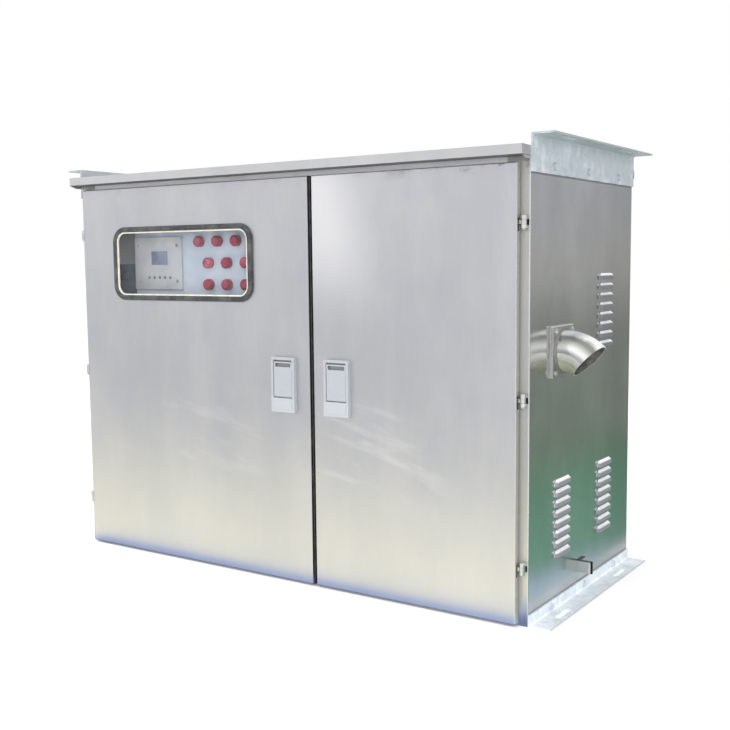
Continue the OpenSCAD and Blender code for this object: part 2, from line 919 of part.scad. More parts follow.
// Profile swept round the window: x runs inwards from the outer edge, y outwards
module swept_frame(w, h, r) {
  rotate([90, 0, 0]) for (s = [0, 1], t = [0, 1]) mirror([s, 0, 0]) mirror([0, t, 0]) {
    translate([0, h / 2, 0]) rotate([90, 0, 90]) linear_extrude(w / 2 - r) mirror([1, 0]) children();
    translate([w / 2, h / 2 - r, 0]) rotate([90, 0, 0]) linear_extrude(h / 2 - r) mirror([1, 0]) children();
    translate([w / 2 - r, h / 2 - r, 0])
      rotate_extrude(angle = 90) translate([r, 0]) mirror([1, 0]) children();
  }
}

module gasket_section() {
  back = -glass_t - sheet;
  square([gasket_w, gasket_out - gasket_round]);
  translate([gasket_round, 0]) square([gasket_w - 2 * gasket_round, gasket_out]);
  for (x = [gasket_round, gasket_w - gasket_round]) {
    translate([x, gasket_out - gasket_round]) intersection() {
      circle(gasket_round);
      translate([-gasket_round, 0]) square([2 * gasket_round, gasket_round]);
    }
  }
  translate([gasket_lap, back]) square([glass_in - gasket_lap, -back]);
  translate([gasket_set, back]) square([glass_in - gasket_set, glass_t]);
  translate([gasket_set, back]) square([gasket_w - gasket_set, sheet]);
}

module window_gasket() {
  color([0.07, 0.07, 0.08]) at_front() translate([window_x, face_y, window_z])
    swept_frame(window_w, window_h, window_r) gasket_section();
}

module window_filler() {
  color([0.84, 0.82, 0.74]) at_front() at_window(face_y - gasket_out / 2, gasket_out / 2)
    ring(window_w - 2 * gasket_w, window_h - 2 * gasket_w, window_r - gasket_w, filler_w);
}

module window_glass() {
  color([0.75, 0.82, 0.84, 0.35]) at_front() at_window(face_y, glass_t)
    round_rect(window_w - 2 * glass_in, window_h - 2 * glass_in, window_r - glass_in);
}

// Lock handles: housing with a button, lever swinging out at its top
module handle_housing() {
  foot = -handle_h / 2 + rim_w;
  difference() {
    along_y(-handle_out, handle_out) round_rect(handle_w, handle_h, handle_r);
    along_y(-2 * handle_out, 2 * handle_out - handle_floor)
      round_rect(handle_w - 2 * rim_w, handle_h - 2 * rim_w, handle_r / 2);
    translate([-handle_w, lever_axis - face_y, lever_low]) rotate([0, 90, 0])
      cylinder(r = lever_pin_d / 2 + pin_play, h = 2 * handle_w);
  }
  translate([0, 0, foot + button_h / 2])
    along_y(-handle_out - button_out, handle_out + button_out - handle_floor)
      square([handle_w - 2 * rim_w, button_h], center = true);
}

module handle_lever() {
  top = lever_high - lever_low;
  difference() {
    union() {
      along_y(-lever_t / 2, lever_t) mirror([0, 1])
        front_round(-lever_w / 2, lever_w / 2, -top, 0, handle_r / 2);
      translate([-lever_w / 2, 0, 0]) rotate([0, 90, 0]) cylinder(d = lever_t, h = lever_w);
    }
    translate([0, 0, top - (rim_w + finger_h) / 2]) along_y(-lever_t, 2 * lever_t)
      round_rect(lever_w - rim_w, finger_h, handle_r / 2);
  }
  translate([-handle_w / 2, 0, 0]) rotate([0, 90, 0]) cylinder(d = lever_pin_d, h = handle_w);
}

module at_handle(x, y) {
  translate([x, y, lock_z]) children();
}

module left_handle_housing() {
  color([0.83, 0.85, 0.86]) at_front() at_handle(left_handle_x, face_y) handle_housing();
}

module right_handle_housing() {
  color([0.83, 0.85, 0.86]) at_front() at_handle(right_handle_x, face_y) handle_housing();
}

module left_handle_lever() {
  color([0.80, 0.83, 0.85]) at_front() at_handle(left_handle_x, lever_axis)
    translate([0, 0, lever_low]) handle_lever();
}

module right_handle_lever() {
  color([0.80, 0.83, 0.85]) at_front() at_handle(right_handle_x, lever_axis)
    translate([0, 0, lever_low]) handle_lever();
}

left_side_panel();
right_side_panel();
back_panel();
floor_panel();
roof_cap();
left_front_stile();
right_front_stile();
front_header();
front_sill();
centre_post();
centre_seal();
left_hanger_angle();
right_hanger_angle();
left_base_angle();
right_base_angle();
left_angle_bolts();
right_angle_bolts();
elbow_gasket();
elbow_flange_plate();
elbow_pipe();
elbow_bolts();
earth_terminal();
left_hinge_frame_leaves();
right_hinge_frame_leaves();
panel_uprights();
instrument_panel();
controller();
indicator_lamps();
switch_block();
left_door_panel();
meeting_seal();
window_gasket();
window_filler();
window_glass();
left_handle_housing();
left_hinge_door_leaves();
left_handle_lever();
right_door_panel();
right_handle_housing();
right_hinge_door_leaves();
right_handle_lever();
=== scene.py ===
from math import cos, pi, radians, sin

import bmesh
import bpy
from mathutils import Matrix, Vector


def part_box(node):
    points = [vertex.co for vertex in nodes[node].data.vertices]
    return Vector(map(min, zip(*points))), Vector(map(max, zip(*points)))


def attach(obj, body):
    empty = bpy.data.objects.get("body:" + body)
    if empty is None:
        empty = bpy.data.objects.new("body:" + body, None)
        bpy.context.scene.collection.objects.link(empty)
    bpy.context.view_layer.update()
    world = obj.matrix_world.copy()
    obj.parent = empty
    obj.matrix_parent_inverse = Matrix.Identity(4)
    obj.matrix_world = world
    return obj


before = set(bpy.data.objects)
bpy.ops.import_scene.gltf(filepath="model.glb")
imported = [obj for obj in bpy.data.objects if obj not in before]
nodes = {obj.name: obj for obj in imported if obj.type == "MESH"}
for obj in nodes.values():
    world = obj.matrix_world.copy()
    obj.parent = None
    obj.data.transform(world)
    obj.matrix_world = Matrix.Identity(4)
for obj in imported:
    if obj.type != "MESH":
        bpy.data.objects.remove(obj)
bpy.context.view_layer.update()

scene = bpy.context.scene

# Places on the cabinet that the finishes follow, in metres

door_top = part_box("right_door_panel")[1].z
flange_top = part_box("elbow_flange_plate")[1].z
side_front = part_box("right_side_panel")[0].y
base_angle_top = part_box("right_base_angle")[1].z
hanger_angle_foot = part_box("right_hanger_angle")[0].z
fascia_foot = 1.1790
meeting_line = 0.1410
handle_mid, handle_reach = 0.1415, 0.093
lower_hoods_top, upper_hoods_rise, hood_pitch = 0.350, 0.537, 0.0273
bend_mid, bend_radius = Vector((0.820, -0.169, 0.602)), 0.088


# Shader sums and nodes

class Value:
    """A socket whose value changes over a surface."""

    def __init__(self, look, socket):
        self.look = look
        self.socket = socket

    def sum(self, kind, first, second):
        return self.look.add("ShaderNodeMath", {"operation": kind}, {0: first, 1: second})

    def __add__(self, other):
        return self.sum("ADD", self, other)

    __radd__ = __add__

    def __sub__(self, other):
        return self.sum("SUBTRACT", self, other)

    def __rsub__(self, other):
        return self.sum("SUBTRACT", other, self)

    def __mul__(self, other):
        return self.sum("MULTIPLY", self, other)

    __rmul__ = __mul__

    def __pow__(self, other):
        return self.sum("POWER", self, other)

    def size(self):
        return self.sum("ABSOLUTE", self, 0.0)

    def fraction(self):
        return self.sum("FRACT", self, 0.0)


class Look:
    """One material, world or card surface and the nodes in it."""

    def __init__(self, name, tree=None):
        self.material = None
        if tree is None:
            self.material = bpy.data.materials.new(name)
            self.material.use_nodes = True
            tree = self.material.node_tree
        self.tree = tree
        self.tree.nodes.clear()

    def add(self, kind, settings=None, sockets=None, out=0):
        node = self.tree.nodes.new(kind)
        for key, value in (settings or {}).items():
            if key == "stops":
                ramp = node.color_ramp.elements
                while len(ramp) < len(value):
                    ramp.new(0.5)
                for stop, (place, colour) in zip(ramp, value):
                    stop.position = place
                    stop.color = (*colour, 1)
            else:
                setattr(node, key, value)
        for key, value in (sockets or {}).items():
            socket = self.find(node.inputs, key)
            if isinstance(value, Value):
                self.tree.links.new(value.socket, socket)
            elif socket.type == "RGBA" and len(value) == 3:
                socket.default_value = (*value, 1)
            else:
                socket.default_value = value
        return Value(self, self.find(node.outputs, out)) if node.outputs else None

    @staticmethod
    def find(sockets, key):
        if isinstance(key, int):
            return sockets[key]
        for socket in sockets:
            if socket.identifier == key:
                return socket
        return sockets[key]

    def place(self, stretch=(1, 1, 1), shift=(0, 0, 0)):
        spot = self.add("ShaderNodeTexCoord", out="Object")
        return self.add("ShaderNodeMapping", {}, {"Vector": spot, "Location": shift, "Scale": stretch})

    def axis(self, letter):
        spot = self.add("ShaderNodeTexCoord", out="Object")
        return self.add("ShaderNodeSeparateXYZ", {}, {"Vector": spot}, letter)

    def noise(self, scale, detail=3.0, rough=0.5, stretch=(1, 1, 1), shift=(0, 0, 0)):
        return self.add("ShaderNodeTexNoise", {}, {"Vector": self.place(stretch, shift), "Scale": scale,
                                                   "Detail": detail, "Roughness": rough})

    def cells(self, scale, feature, out):
        return self.add("ShaderNodeTexVoronoi", {"feature": feature},
                        {"Vector": self.place(), "Scale": scale}, out)

    def ease(self, value, low, high, start=0.0, end=1.0):
        return self.add("ShaderNodeMapRange", {"interpolation_type": "SMOOTHSTEP"},
                        {"Value": value, "From Min": low, "From Max": high,
                         "To Min": start, "To Max": end})

    def mix(self, amount, first, second):
        return self.add("ShaderNodeMix", {"data_type": "RGBA"},
                        {"Factor_Float": amount, "A_Color": first, "B_Color": second}, "Result_Color")

    def bump(self, height, strength, depth):
        return self.add("ShaderNodeBump", {}, {"Height": height, "Strength": strength, "Distance": depth},
                        "Normal")

    def coat(self, sockets):
        surface = self.add("ShaderNodeBsdfPrincipled", {}, sockets)
        self.add("ShaderNodeOutputMaterial", {}, {"Surface": surface})
        return self.material


# Finishes

def frame_marks(look, tone, metal):
    """Painted shade beside the doors, a painted highlight along the outer edge, and a painted blue ground
    reflection with painted shade at the foot of the stiles.
    """
    reach = look.axis("X").size()
    height = look.axis("Z")
    # Painted highlight: a bright line along the outer edge of the stiles.
    tone = look.mix(look.ease(reach, 0.7950, 0.7985) * 0.4, tone, (0.97, 0.97, 0.95))
    # Painted shade on the stiles beside the doors, which are also made less metallic there.
    near = look.ease(reach, 0.7890, 0.7800)
    tone = look.mix(near * 0.8, tone, (0.36, 0.355, 0.33))
    bare = look.ease(reach, 0.770, 0.778)
    # Painted reflection of a blue ground at the foot, then darker painted shade in the lowest few
    # centimetres.
    tone = look.mix(look.ease(height, 0.10, 0.02) * bare * 0.75, tone, (0.30, 0.38, 0.58))
    tone = look.mix(look.ease(height, 0.048, 0.006) * bare * 0.8, tone, (0.11, 0.15, 0.24))
    return tone, metal - 0.6 * near


def door_marks(look, tone, metal):
    """Painted shade on the outer edge and along the meeting line, pale patch, slanting rub marks, a
    painted blue ground reflection at the foot and a painted shadow along the bottom rim.
    """
    across = look.axis("X")
    height = look.axis("Z")
    # Painted shade on the doors' outer side faces in the gap by the stiles, which are also made less
    # metallic there.
    side = look.ease(across.size(), 0.7722, 0.7732)
    tone = look.mix(side * 0.9, tone, (0.29, 0.29, 0.255))
    # Painted shade: black on the door edges in the gap at the meeting line.
    meeting = look.ease((across - meeting_line).size(), 0.0036, 0.0028)
    tone = look.mix(meeting, tone, (0.015, 0.015, 0.016))
    pale = look.ease(across + 0.25 * (height - 0.9), 0.42, 0.22) * look.ease(height, 0.72, 1.02)
    pale = pale * look.ease(across, 0.140, 0.150)
    tone = look.mix(pale * 0.9, tone, (0.95, 0.945, 0.945))
    slant = look.add("ShaderNodeCombineXYZ", {}, {"X": across * 4.0, "Y": 3.0,
                                                  "Z": (height + 0.22 * across) * 20.0})
    rub = look.add("ShaderNodeTexNoise", {}, {"Vector": slant, "Scale": 1.0, "Detail": 4.0,
                                              "Roughness": 0.55})
    on_right = look.ease((across - 0.36).size(), 0.27, 0.12)
    on_left = look.ease((across + 0.22).size(), 0.30, 0.12)
    rub = look.ease(rub, 0.50, 0.68) * look.ease((height - 0.42).size(), 0.17, 0.06)
    rub = rub * (on_right + 0.6 * on_left)
    tone = look.mix(rub * 0.36, tone, (0.93, 0.93, 0.94))
    # Painted reflection of a blue ground near the foot of the doors.
    tone = look.mix(look.ease(height, 0.046, 0.010) * 0.34, tone, (0.42, 0.56, 0.78))
    # Painted shadow along the bottom edge of the doors.
    tone = look.mix(look.ease(height, 0.0105, 0.0075) * 0.85, tone, (0.10, 0.12, 0.20))
    return tone, metal - 0.6 * side


def header_marks(look, tone, metal):
    """Painted light: a paler, duller strip just above the doors."""
    near = look.ease(look.axis("Z"), door_top + 0.010, door_top + 0.003)
    return look.mix(near * 0.8, tone, (0.86, 0.84, 0.85)), metal - 0.75 * near


def roof_marks(look, tone, metal):
    """Painted shadow line along the foot of the fascia, under the eave."""
    under = look.ease((look.axis("Z") - fascia_foot).size(), 0.0014, 0.0006)
    return look.mix(under * 0.92, tone, (0.075, 0.07, 0.06)), metal - 0.8 * under


def flange_marks(look, tone, metal):
    """Painted highlight along the top edge."""
    edge = look.ease(flange_top - look.axis("Z"), 0.0032, 0.0020)
    return look.mix(edge, tone, (0.97, 0.97, 0.97)), metal


def lug_marks(look, tone, metal):
    """Painted highlight band, painted shade on the outer end and painted shade on the top of the earth
    terminal.
    """
    out = look.axis("X")
    # Painted highlight: a bright band across the terminal.
    tone = look.mix(look.ease((out - 0.8335).size(), 0.0030, 0.0015) * 0.8, tone, (0.98, 0.98, 0.96))
    # Painted shade: a black outer end.
    tone = look.mix(look.ease(out, 0.8365, 0.8380), tone, (0.03, 0.03, 0.03))
    # Painted shade on the top.
    tone = look.mix(look.ease(look.axis("Z"), 0.0905, 0.0930) * 0.85, tone, (0.07, 0.06, 0.05))
    return tone, metal


def satin_stainless(name, light, dark, grain_run, dusty=1.0, grimy=1.0, marks=None):
    """Brushed sheet: soft clouds, brush lines, smears, a dust film at the foot that is partly a painted
    warm ground reflection, grime at the top.
    """
    look = Look(name)
    cloud = look.noise(2.2, 4, 0.55)
    smear = look.noise(9, 5, 0.6, (1.0, 1.0, 0.22), (3, 1, 7))
    line = look.noise(420, 2, 0.6, (1, 1, 0.012) if grain_run == "upright" else (0.012, 1, 1))
    height = look.axis("Z")
    tone = look.mix(look.ease(0.6 * cloud + 0.4 * smear, 0.34, 0.66), dark, light)
    tone = look.mix(0.10 * line, tone, (0.40, 0.40, 0.41))
    wipe = look.noise(8, 4, 0.6, (1, 1, 0.6), (7, 3, 5))
    tone = look.mix(look.ease(wipe, 0.46, 0.62) * 0.22, tone, (0.55, 0.57, 0.65))
    # Dust film at the foot: partly dust, partly a painted warm reflection of the ground.
    foot = look.ease(height, 0.62, 0.03) * (0.55 + 0.6 * look.noise(5, 4, 0.6, (1, 1, 0.5), (9, 4, 2)))
    dust = look.ease(foot, 0.05, 1.0) * (0.50 * dusty)
    tone = look.mix(dust, tone, (0.77, 0.755, 0.63))
    blot = look.ease(look.noise(26, 5, 0.7, (0.5, 1, 1), (6, 2, 8)), 0.50, 0.66)
    grime = look.ease(height, 1.128, 1.172) * blot
    grime = grime * look.ease(look.axis("X"), 0.30, 0.76, 0.15 * grimy, 0.85 * grimy)
    tone = look.mix(grime, tone, (0.10, 0.09, 0.07))
    metal = 1.0 - 0.35 * dust
    if marks:
        tone, metal = marks(look, tone, metal)
    rough = 0.34 + 0.10 * cloud + 0.07 * line + 0.10 * dust + 0.15 * grime
    bend = look.noise(2.6, 2, 0.4, (1, 1, 1), (5, 5, 5))
    return look.coat({"Base Color": tone, "Metallic": metal, "Roughness": rough,
                      "Normal": look.bump(bend + 0.02 * line, 0.12, 0.02)})


def side_marks(look, tone, rough, wipe, speck):
    """Hoods with painted highlights on their crowns and painted shade on their faces, deeper on the upper
    rows, a dull inside face, painted contact shadows along the angles and a grey front edge.
    """
    reach = look.axis("X").size()
    height = look.axis("Z")
    tone = look.mix(look.ease(look.axis("Y"), -0.05, 0.36) * 0.7, tone, (0.37, 0.37, 0.36))
    pressed = look.ease(reach, 0.8008, 0.8020)
    upper = look.ease(height, 0.50, 0.51)
    row = (lower_hoods_top + upper_hoods_rise * upper - height) * (1 / hood_pitch) + 0.03
    crown = pressed * look.ease(row.fraction(), 0.33, 0.16)
    # Painted shade on the hood faces, deeper on the upper rows.
    hood = look.mix(speck, (0.21, 0.205, 0.24), (0.33, 0.32, 0.36))
    hood = look.mix(look.ease(height, 0.48, 0.52) * 0.75, hood, (0.10, 0.098, 0.115))
    tone = look.mix(pressed * 0.9, tone, hood)
    # Painted highlight on the hood crowns.
    tone = look.mix(crown, tone, look.mix(wipe, (0.90, 0.90, 0.93), (0.98, 0.98, 1.0)))
    inside = look.ease(reach, 0.7994, 0.7986)
    tone = look.mix(inside * 0.9, tone, (0.96, 0.97, 1.0))
    # Painted contact shadows along the top of the base angle and the foot of the hanger angle.
    for edge in (base_angle_top + 0.002, hanger_angle_foot - 0.002):
        contact_shadow = look.ease((height - edge).size(), 0.0040, 0.0012) * look.ease(reach, 0.7996, 0.7999)
        tone = look.mix(contact_shadow * 0.6, tone, (0.14, 0.15, 0.16))
    front = look.ease(look.axis("Y"), side_front + 0.0012, side_front + 0.0004)
    tone = look.mix(front * 0.7, tone, (0.42, 0.42, 0.41))
    metal = 1.0 - 0.85 * inside - 0.55 * pressed - 0.25 * crown
    return tone, metal, rough + 0.20 * pressed + 0.10 * crown + 0.25 * inside


def elbow_marks(look, tone, rough, wipe, speck):
    """Painted light and dark reflection bands along the bent tube, a painted cream ground reflection on
    the underside and painted shade in the bore.
    """
    ahead = look.axis("X") - bend_mid.x
    across = look.axis("Y") - bend_mid.y
    up = look.axis("Z") - bend_mid.z
    out = (ahead * ahead + up * up) ** 0.5 - bend_radius
    gone = (out * out + across * across) ** 0.5
    bore = look.ease(gone, 0.0527, 0.0521)
    streak = look.noise(34, 4, 0.6, (0.25, 0.25, 0.25), (2, 5, 1))
    # Painted reflections: light and dark bands with white highlights around the tube.
    painted_reflection_band = look.add("ShaderNodeValToRGB", {"stops": [
        (0.00, (0.30, 0.30, 0.22)), (0.16, (0.44, 0.44, 0.36)), (0.42, (0.56, 0.56, 0.53)),
        (0.55, (0.62, 0.62, 0.60)), (0.65, (0.98, 0.98, 0.98)), (0.74, (0.90, 0.90, 0.88)),
        (0.82, (0.62, 0.62, 0.60)), (0.89, (0.32, 0.32, 0.30)), (0.93, (0.30, 0.30, 0.28)),
        (0.965, (1.0, 1.0, 1.0))]}, {"Fac": look.ease(out, -0.060, 0.060) + 0.16 * (streak - 0.5)})
    tone = look.mix(0.92, tone, painted_reflection_band)
    # Painted shade inside the bore.
    bore_shade = look.mix(look.ease(speck, 0.35, 0.65), (0.028, 0.026, 0.023), (0.13, 0.125, 0.11))
    tone = look.mix(bore * 0.9, tone, bore_shade)
    # Painted reflection of the ground on the underside, in cream, made less metallic.
    low = look.ease(out, -0.008, -0.034) * look.ease(gone, 0.0524, 0.0530)
    cream = look.mix(look.ease(streak, 0.35, 0.65), (0.46, 0.455, 0.335), (0.64, 0.625, 0.48))
    tone = look.mix(low * 0.75, tone, cream)
    rough = rough + 0.5 * bore + 0.2 * low + 0.2 * look.ease(out, 0.012, 0.032)
    return tone, 1.0 - 0.9 * bore - 0.75 * low, rough


def polished_stainless(name, tone_a, tone_b, rough_low, wave, run, marks):
    """Mirror sheet: sharp reflections, faint roller lines, wipe marks and a slight wave."""
    look = Look(name)
    wipe = look.noise(6, 5, 0.62, (1, 1, 0.6), (2, 8, 3))
    line = look.noise(380, 2, 0.5, run)
    speck = look.noise(70, 3, 0.7)
    tone = look.mix(look.ease(wipe, 0.32, 0.68), tone_a, tone_b)
    tone = look.mix(look.ease(speck, 0.66, 0.80) * 0.25, tone, (0.36, 0.37, 0.36))
    foot = look.ease(look.axis("Z"), 0.30, 0.02) * look.noise(11, 4, 0.6)
    tone = look.mix(foot * 0.3, tone, (0.76, 0.75, 0.72))
    rough = rough_low + 0.08 * wipe + 0.05 * line + 0.12 * foot
    tone, metal, rough = marks(look, tone, rough, wipe, speck)
    bend = look.noise(3.1, 2, 0.4, (1, 1, 1), (1, 2, 3))
    return look.coat({"Base Color": tone, "Metallic": metal, "Roughness": rough,
                      "Normal": look.bump(bend + 0.01 * line, wave, 0.02)})


def galvanised(name, low, high, metal, pale_foot=0.0):
    """Hot-dip zinc: blue grey spangle, white bloom, dull runs, dark rims, painted green shade on the top
    flange and a painted highlight on the fold at the foot.
    """
    look = Look(name)
    spangle = look.cells(46, "F1", "Color")
    grey = look.add("ShaderNodeSeparateColor", {}, {"Color": spangle}, "Red")
    edge = look.cells(46, "DISTANCE_TO_EDGE", "Distance")
    bloom = look.noise(13, 5, 0.65)
    run = look.noise(30, 4, 0.6, (1, 1, 0.15), (4, 0, 1))
    reach = look.axis("X").size()
    height = look.axis("Z")
    tone = look.mix(grey, low, high)
    tone = look.mix(look.ease(bloom, 0.50, 0.72) * 0.5, tone, (0.80, 0.83, 0.85))
    tone = look.mix(look.ease(run, 0.58, 0.76) * 0.45, tone, (0.42, 0.47, 0.51))
    tone = look.mix(look.ease(reach, 0.8585, 0.8605) * 0.55, tone, (0.30, 0.33, 0.34))
    # Painted shade with a green ground reflection on the hanger angle's top flange.
    under = look.ease(height, 1.2200, 1.2285) * look.ease(reach, 0.8052, 0.8060)
    tone = look.mix(under * 0.32, tone, (0.32, 0.38, 0.34))
    tone = look.mix(look.ease(height, 0.10, 0.05) * pale_foot, tone, (0.74, 0.79, 0.83))
    # Painted highlight along the fold at the foot.
    fold = look.ease((reach - 0.8070).size(), 0.0030, 0.0010) * look.ease(height, 0.0100, 0.0060)
    tone = look.mix(fold * 0.8, tone, (0.98, 0.99, 1.0))
    dull = look.ease(look.noise(24, 5, 0.7, (1, 1, 1), (8, 1, 3)), 0.44, 0.66)
    tone = look.mix(dull * look.ease(height, 0.060, 0.040) * 0.38, tone, (0.50, 0.57, 0.64))
    relief = look.ease(edge, 0.0, 0.05) + 0.4 * bloom
    return look.coat({"Base Color": tone, "Metallic": metal + 0.2 * grey,
                      "Roughness": 0.42 + 0.16 * grey + 0.10 * bloom,
                      "Normal": look.bump(relief, 0.10, 0.002)})


def bright_plate():
    """Plated fittings with handling marks."""
    look = Look("bright_plate")
    mark = look.noise(160, 4, 0.6)
    cloud = look.noise(34, 3)
    tone = look.mix(look.ease(cloud, 0.35, 0.65), (0.62, 0.62, 0.60), (0.75, 0.75, 0.72))
    tone = look.mix(look.ease(mark, 0.60, 0.75) * 0.4, tone, (0.45, 0.43, 0.39))
    return look.coat({"Base Color": tone, "Metallic": 0.9, "Roughness": 0.26 + 0.16 * mark,
                      "Normal": look.bump(mark, 0.10, 0.001)})


def lock_finish():
    """Silver sprayed casting with painted shade in the lever pocket and a paler push button."""
    look = Look("lock_silver")
    fleck = look.noise(900, 2, 0.7)
    wear = look.noise(60, 4, 0.6)
    tone = look.mix(look.ease(fleck, 0.35, 0.65), (0.47, 0.50, 0.54), (0.54, 0.57, 0.60))
    tone = look.mix(look.ease(wear, 0.62, 0.78) * 0.4, tone, (0.64, 0.66, 0.67))
    deep = look.axis("Y")
    height = look.axis("Z")
    across = ((look.axis("X") - handle_mid).size() - handle_reach).size()
    # Painted shade in the finger pocket of the lever.
    pocket = look.ease(across, 0.0340, 0.0330) * look.ease(deep, -0.3850, -0.3825)
    pocket = pocket * look.ease(height, 0.622, 0.628)
    tone = look.mix(pocket * 0.9, tone, (0.26, 0.265, 0.27))
    button = look.ease(height, 0.5415, 0.5405) * look.ease(deep, -0.3885, -0.3895)
    tone = look.mix(button * 0.6, tone, (0.60, 0.635, 0.655))
    return look.coat({"Base Color": tone, "Metallic": 0.35 + 0.15 * fleck,
                      "Roughness": 0.34 + 0.12 * wear, "Normal": look.bump(fleck, 0.05, 0.0006)})


def weathered_rubber(name, dark, pale):
    """Black extruded rubber, greyed by weather and dust."""
    look = Look(name)
    bloom = look.noise(40, 5, 0.65)
    pore = look.noise(900, 2, 0.6)
    tone = look.mix(look.ease(bloom, 0.36, 0.70), dark, pale)
    return look.coat({"Base Color": tone, "Roughness": 0.42 + 0.22 * bloom,
                      "Normal": look.bump(pore, 0.12, 0.0006)})


def filler_strip(name, pale, stained):
    """Aged filler strip."""
    look = Look(name)
    stain = look.noise(55, 5, 0.65)
    tone = look.mix(look.ease(stain, 0.34, 0.70), pale, stained)
    return look.coat({"Base Color": tone, "Roughness": 0.45 + 0.2 * stain,
                      "Normal": look.bump(stain, 0.15, 0.001)})


def clear_glass():
    """Sheet glass: clear, with a painted sheen at a slant and a thin uneven film."""
    look = Look("clear_glass")
    # Painted sheen: alpha rises at a slant, so more of the pale glass colour shows.
    sheen = look.add("ShaderNodeLayerWeight", {}, {"Blend": 0.5}, "Facing") ** 3
    smear = look.noise(12, 4, 0.6, (1, 1, 0.5))
    film = look.ease(smear, 0.40, 0.75) * 0.04
    tone = look.mix(smear, (0.80, 0.86, 0.90), (0.90, 0.92, 0.93))
    return look.coat({"Base Color": tone, "Roughness": 0.03 + 0.08 * smear,
                      "Alpha": 0.015 + film + 0.40 * sheen})


def instrument_blue():
    """Pale blue stove paint on the instrument plate."""
    look = Look("instrument_blue")
    peel = look.noise(420, 2, 0.5)
    cloud = look.noise(9, 4, 0.6)
    tone = look.mix(look.ease(cloud, 0.35, 0.65), (0.47, 0.55, 0.655), (0.56, 0.625, 0.71))
    return look.coat({"Base Color": tone, "Roughness": 0.38 + 0.12 * cloud,
                      "Normal": look.bump(peel, 0.06, 0.0006)})


def grey_moulding():
    """Light grey moulded case with a fine spark texture."""
    look = Look("grey_moulding")
    spark = look.noise(700, 2, 0.6)
    cloud = look.noise(14, 4, 0.6)
    tone = look.mix(look.ease(cloud, 0.35, 0.65), (0.43, 0.445, 0.47), (0.51, 0.525, 0.545))
    return look.coat({"Base Color": tone, "Roughness": 0.48 + 0.12 * spark,
                      "Normal": look.bump(spark, 0.10, 0.0005)})


def lamp_red():
    """Red caps: paler bloom, dark flecks and fine ribs."""
    look = Look("lamp_red")
    bloom = look.noise(13, 5, 0.65)
    rib = look.add("ShaderNodeTexWave", {"bands_direction": "Y"},
                   {"Vector": look.place(), "Scale": 130.0, "Distortion": 0.4})
    tone = look.mix(look.ease(bloom, 0.42, 0.64), (0.30, 0.003, 0.028), (0.54, 0.07, 0.15))
    tone = look.mix(look.ease(look.noise(85, 4, 0.65), 0.48, 0.66) * 0.55, tone, (0.16, 0.002, 0.015))
    return look.coat({"Base Color": tone, "Roughness": 0.18 + 0.14 * bloom, "Coat Weight": 0.3,
                      "Normal": look.bump(rib, 0.20, 0.0005)})


def dark_moulding():
    """Dark blue-black moulded case with a little dust."""
    look = Look("dark_moulding")
    spark = look.noise(650, 2, 0.6)
    dust = look.noise(22, 5, 0.6)
    tone = look.mix(look.ease(dust, 0.40, 0.75), (0.040, 0.065, 0.13), (0.10, 0.13, 0.21))
    return look.coat({"Base Color": tone, "Roughness": 0.40 + 0.15 * dust,
                      "Normal": look.bump(spark, 0.12, 0.0005)})


def display_face():
    """Unlit grey-blue display behind its cover."""
    look = Look("display_face")
    cell = look.cells(420, "DISTANCE_TO_EDGE", "Distance")
    haze = look.noise(60, 3)
    tone = look.mix(haze, (0.14, 0.17, 0.28), (0.21, 0.24, 0.36))
    tone = look.mix(look.ease(cell, 0.0, 0.04) * 0.15, tone, (0.15, 0.17, 0.25))
    return look.coat({"Base Color": tone, "Roughness": 0.12 + 0.10 * haze, "Coat Weight": 0.6})


def key_rubber():
    """Dark grey key caps."""
    look = Look("key_rubber")
    grain = look.noise(500, 3, 0.6)
    tone = look.mix(grain, (0.10, 0.12, 0.17), (0.20, 0.22, 0.28))
    return look.coat({"Base Color": tone, "Roughness": 0.5 + 0.15 * grain,
                      "Normal": look.bump(grain, 0.1, 0.0004)})


def weld_metal():
    """Dull grey, rippled weld bead."""
    look = Look("weld_metal")
    ripple = look.noise(240, 3, 0.6, (0.4, 1, 1))
    heat = look.noise(30, 3)
    tone = look.mix(look.ease(heat, 0.4, 0.7), (0.30, 0.295, 0.275), (0.20, 0.195, 0.18))
    return look.coat({"Base Color": tone, "Metallic": 0.8, "Roughness": 0.45 + 0.2 * ripple,
                      "Normal": look.bump(ripple, 0.5, 0.002)})


door_satin = satin_stainless("door_satin", (0.70, 0.70, 0.715), (0.61, 0.615, 0.635), "upright",
                             marks=door_marks)
frame_satin = satin_stainless("frame_satin", (0.63, 0.625, 0.605), (0.54, 0.535, 0.515), "upright",
                              marks=frame_marks)
inner_satin = satin_stainless("inner_satin", (0.58, 0.575, 0.555), (0.49, 0.485, 0.465), "upright",
                              0.6, 0.0)
# Paler copy of the stainless: painted light on the header, which sits in the eave's shade.
header_satin_painted_light = satin_stainless("header_satin_painted_light", (0.96, 0.94, 0.955), (0.90, 0.88, 0.895), "level",
                               0.0, 0.4, header_marks)
roof_satin = satin_stainless("roof_satin", (0.735, 0.735, 0.73), (0.66, 0.66, 0.66), "level", 0.0, 0.0,
                             roof_marks)
flange_satin = satin_stainless("flange_satin", (0.58, 0.58, 0.56), (0.46, 0.46, 0.44), "level", 0.0, 0.0,
                               flange_marks)
lug_satin = satin_stainless("lug_satin", (0.74, 0.74, 0.70), (0.50, 0.50, 0.46), "upright", 0.0, 0.0,
                            lug_marks)
side_mirror = polished_stainless("side_mirror", (0.56, 0.57, 0.57), (0.64, 0.645, 0.64), 0.10, 0.10,
                                 (1, 1, 0.012), side_marks)
elbow_mirror = polished_stainless("elbow_mirror", (0.62, 0.61, 0.57), (0.74, 0.73, 0.69), 0.05, 0.04,
                                  (0.05, 1, 1), elbow_marks)
